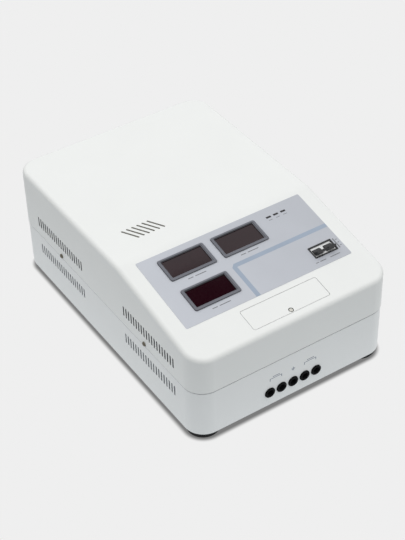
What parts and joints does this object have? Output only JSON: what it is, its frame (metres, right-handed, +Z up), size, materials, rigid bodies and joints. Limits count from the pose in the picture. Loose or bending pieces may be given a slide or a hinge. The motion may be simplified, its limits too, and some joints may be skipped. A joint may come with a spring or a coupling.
{
  "type": "voltage stabilizer",
  "caption": "Servo voltage stabilizer in a low two-part white case with a sloping control panel, breaker toggles, a terminal cover, cable grommets and vents.",
  "frame": {"origin": "middle of the footprint, on the plane that the rubber feet stand on", "axes": "+X to the right seen from the front, +Y from the front face to the rear, +Z up; the sloping panel and the cable entries face -Y"},
  "size_m": [0.3142, 0.4629, 0.173],
  "materials": {
    "case_white": "satin moulded plastic",
    "case_white_lower": "satin moulded plastic",
    "zinc_plate": "zinc plated sheet",
    "foot_rubber": "matt",
    "plated_screw": "zinc plated",
    "panel_grey": "fine matt printed film",
    "bezel_grey": "satin",
    "display_lens": "dark tinted, glossy",
    "digit_black": "matt",
    "board_green": "solder mask",
    "relay_blue": "gloss",
    "capacitor_sleeve": "gloss sleeve",
    "lamp_smoke": "smoked",
    "black_trim": "satin",
    "breaker_white": "satin",
    "toggle_black": "satin",
    "cover_white": "satin moulded plastic",
    "block_black": "phenolic",
    "terminal_brass": "bright",
    "grommet_rubber": "matt",
    "pad_rubber": "matt",
    "core_steel": "varnished strip",
    "copper_wire": "enamelled wire",
    "phenolic_brown": "pressed board",
    "bush_bronze": "turned",
    "bright_steel": "ground",
    "arm_alloy": "cast",
    "carbon": "sintered",
    "spring_bronze": "rolled strip",
    "gear_nylon": "natural nylon",
    "motor_plate": "painted can",
    "switch_black": "moulded",
    "coil_tape": "varnished tape",
    "contactor_black": "moulded",
    "fan_black": "moulded"
  },
  "bodies": {
    "case": {"upper_case": "case_white", "lower_case": "case_white_lower", "chassis_plate": "zinc_plate", "rubber_feet": "foot_rubber", "foot_screws": "plated_screw", "foot_nuts": "plated_screw", "case_screws": "plated_screw", "control_panel": "panel_grey", "display_bezels": "bezel_grey", "display_lenses": "display_lens", "digit_modules": "digit_black", "display_board": "board_green", "board_screws": "plated_screw", "board_relays": "relay_blue", "board_capacitors": "capacitor_sleeve", "indicator_lamps": "lamp_smoke", "breaker_bezel": "black_trim", "bypass_breaker": "breaker_white", "regulator_breaker": "breaker_white", "breaker_rail": "zinc_plate", "breaker_bracket": "zinc_plate", "bracket_screws": "plated_screw", "terminal_block": "block_black", "terminal_screws": "terminal_brass", "block_screws": "plated_screw", "cable_grommets": "grommet_rubber", "core_pad": "pad_rubber", "toroid_core": "core_steel", "toroid_winding": "copper_wire", "hub_spool": "phenolic_brown", "hub_bolts": "plated_screw", "shaft_bushes": "bush_bronze", "servo_motor": "motor_plate", "motor_screws": "plated_screw", "motor_bridge": "zinc_plate", "bridge_posts": "bright_steel", "bridge_screws": "plated_screw", "limit_switches": "switch_black", "series_core": "core_steel", "series_coil": "coil_tape", "series_brackets": "zinc_plate", "series_bolts": "plated_screw", "series_screws": "plated_screw", "contactor": "contactor_black", "fan_frame": "fan_black", "contactor_screws": "plated_screw", "fan_screws": "plated_screw"},
    "terminal_cover": {"terminal_cover": "cover_white", "cover_screw": "plated_screw"},
    "bypass_toggle": {"bypass_toggle": "toggle_black"},
    "regulator_toggle": {"regulator_toggle": "toggle_black"},
    "brush_arm": {"brush_shaft": "bright_steel", "brush_arm": "arm_alloy", "carbon_brush": "carbon", "brush_spring": "spring_bronze", "driven_gear": "gear_nylon"},
    "motor_pinion": {"drive_pinion": "terminal_brass", "motor_shaft": "bright_steel"},
    "fan_rotor": {"fan_rotor": "fan_black"}
  },
  "joints": [
    {"name": "cover_lift", "type": "slide", "parent": "case", "child": "terminal_cover", "axis": [0, -0.1822, 0.9833], "range_m": [0, 0.05]},
    {"name": "bypass_throw", "type": "hinge", "parent": "case", "child": "bypass_toggle", "pos_m": [0.0916, -0.1498, 0.14919], "axis": [-1, 0, 0], "range_deg": [0, 60]},
    {"name": "regulator_throw", "type": "hinge", "parent": "case", "child": "regulator_toggle", "pos_m": [0.1094, -0.1498, 0.14919], "axis": [-1, 0, 0], "range_deg": [0, 60]},
    {"name": "brush_sweep", "type": "hinge", "parent": "case", "child": "brush_arm", "pos_m": [0, 0.09, 0.1], "axis": [0, 0, 1], "range_deg": [-155, 155]},
    {"name": "pinion_spin", "type": "hinge", "parent": "case", "child": "motor_pinion", "pos_m": [0, 0.0419, 0.1], "axis": [0, 0, 1], "range_deg": [-468, 468]},
    {"name": "fan_spin", "type": "hinge", "parent": "case", "child": "fan_rotor", "pos_m": [0, 0.2138, 0.0445], "axis": [0, 1, 0], "continuous": true}
  ],
  "couplings": [
    {"joint": "pinion_spin", "follows": "brush_sweep", "ratio": -3}
  ]
}
